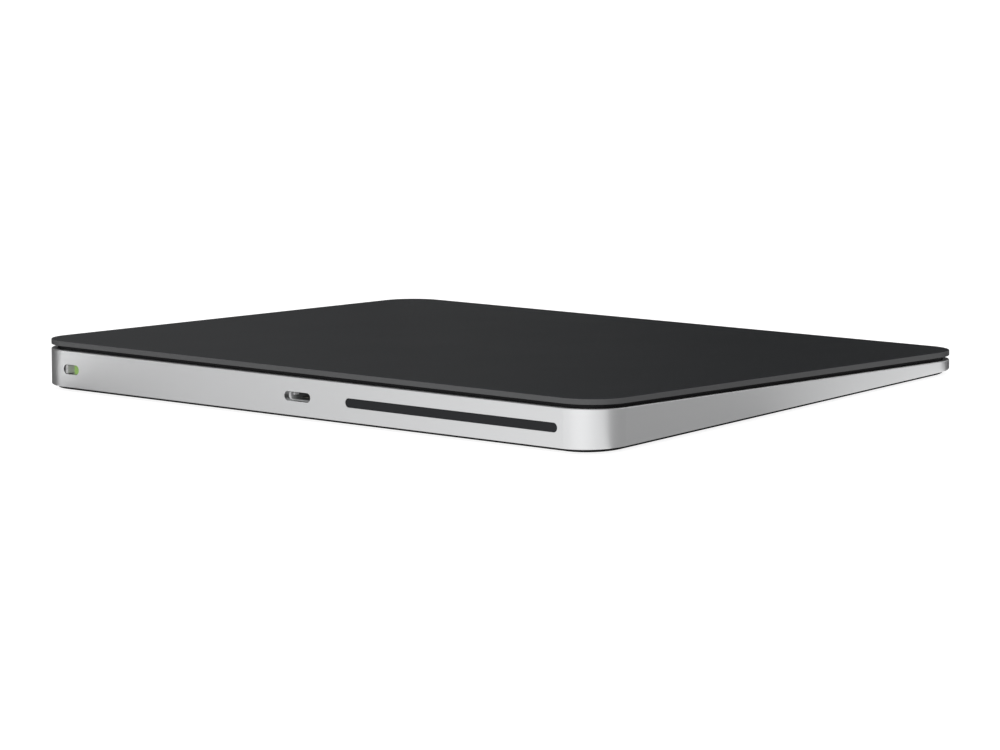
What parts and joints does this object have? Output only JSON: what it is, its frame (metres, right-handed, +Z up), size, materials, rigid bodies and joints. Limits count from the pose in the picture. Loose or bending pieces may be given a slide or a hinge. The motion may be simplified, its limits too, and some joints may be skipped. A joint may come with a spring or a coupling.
{
  "type": "trackpad",
  "caption": "Wedge-shaped wireless trackpad: dark glass touch surface over a thin aluminium tray, with a charging port, slide switch and antenna window in the rear wall.",
  "frame": {"origin": "centre of the object on the desk, under the feet", "axes": "+X to the user's right, +Y to the rear wall, +Z up from the desk"},
  "size_m": [0.16, 0.1153, 0.0109],
  "materials": {
    "glass": "dark matt glass, etched upper face",
    "aluminium": "fine bead-blasted, anodised silver",
    "black_plastic": "satin black moulded plastic",
    "foot_rubber": "matt",
    "steel": "rolled sheet",
    "screws": "zinc plated",
    "slider_grey": "machined",
    "green_paint": "printed green",
    "circuit_board": "solder mask",
    "chips": "moulded black",
    "contacts": "gold plated",
    "copper": "enamelled wire",
    "battery_foil": "dark wrapped foil",
    "tape": "pressure-sensitive tape",
    "ribbon": "amber film"
  },
  "bodies": {
    "base": {"antenna_board": "circuit_board", "antenna_flex": "ribbon", "antenna_window": "black_plastic", "battery_boards": "circuit_board", "battery_flexes": "ribbon", "battery_left": "battery_foil", "battery_right": "battery_foil", "battery_tapes": "tape", "board_chips": "chips", "board_connectors": "chips", "board_screws": "screws", "board_shields": "steel", "bottom_cover": "black_plastic", "clamp_screws": "screws", "cover_adhesive": "tape", "foot_front_left": "foot_rubber", "foot_front_right": "foot_rubber", "foot_rear_left": "foot_rubber", "foot_rear_right": "foot_rubber", "haptic_base": "steel", "haptic_coils": "copper", "haptic_core": "steel", "haptic_flex": "ribbon", "haptic_screws": "screws", "housing": "aluminium", "logic_board": "circuit_board", "port_bracket": "steel", "port_contacts": "contacts", "port_flex": "ribbon", "port_insulator": "black_plastic", "port_latches": "steel", "port_screws": "screws", "port_shell": "steel", "sensor_flex": "ribbon", "switch_flex": "ribbon", "switch_guide": "black_plastic", "switch_screws": "screws", "switch_spring": "steel"},
    "switch": {"switch_slider": "slider_grey", "switch_marker": "green_paint"},
    "suspension": {"flexure_front_left": "steel", "flexure_front_right": "steel", "flexure_rear_left": "steel", "flexure_rear_right": "steel", "strain_gauges": "circuit_board", "isolation_pads": "foot_rubber"},
    "surface": {"glass_surface": "glass", "sensor_sheet": "circuit_board", "carrier_plate": "steel", "touch_chips": "chips", "haptic_armature": "steel", "armature_screws": "screws"}
  },
  "joints": [
    {"name": "switch_slide", "type": "slide", "parent": "base", "child": "switch", "axis": [-1, 0, 0], "range_m": [0, 0.00235]},
    {"name": "surface_press", "type": "slide", "parent": "base", "child": "suspension", "axis": [0, -0.0522, 0.9986], "range_m": [-0.0002, 0], "stiffness_N_per_m": 12000, "springref_m": 0.0002, "deforming": ["flexure_front_left", "flexure_front_right", "flexure_rear_left", "flexure_rear_right", "sensor_flex"]},
    {"name": "haptic_shake", "type": "slide", "parent": "suspension", "child": "surface", "axis": [1, 0, 0], "range_m": [-0.0001, 0.0001], "stiffness_N_per_m": 30000}
  ]
}
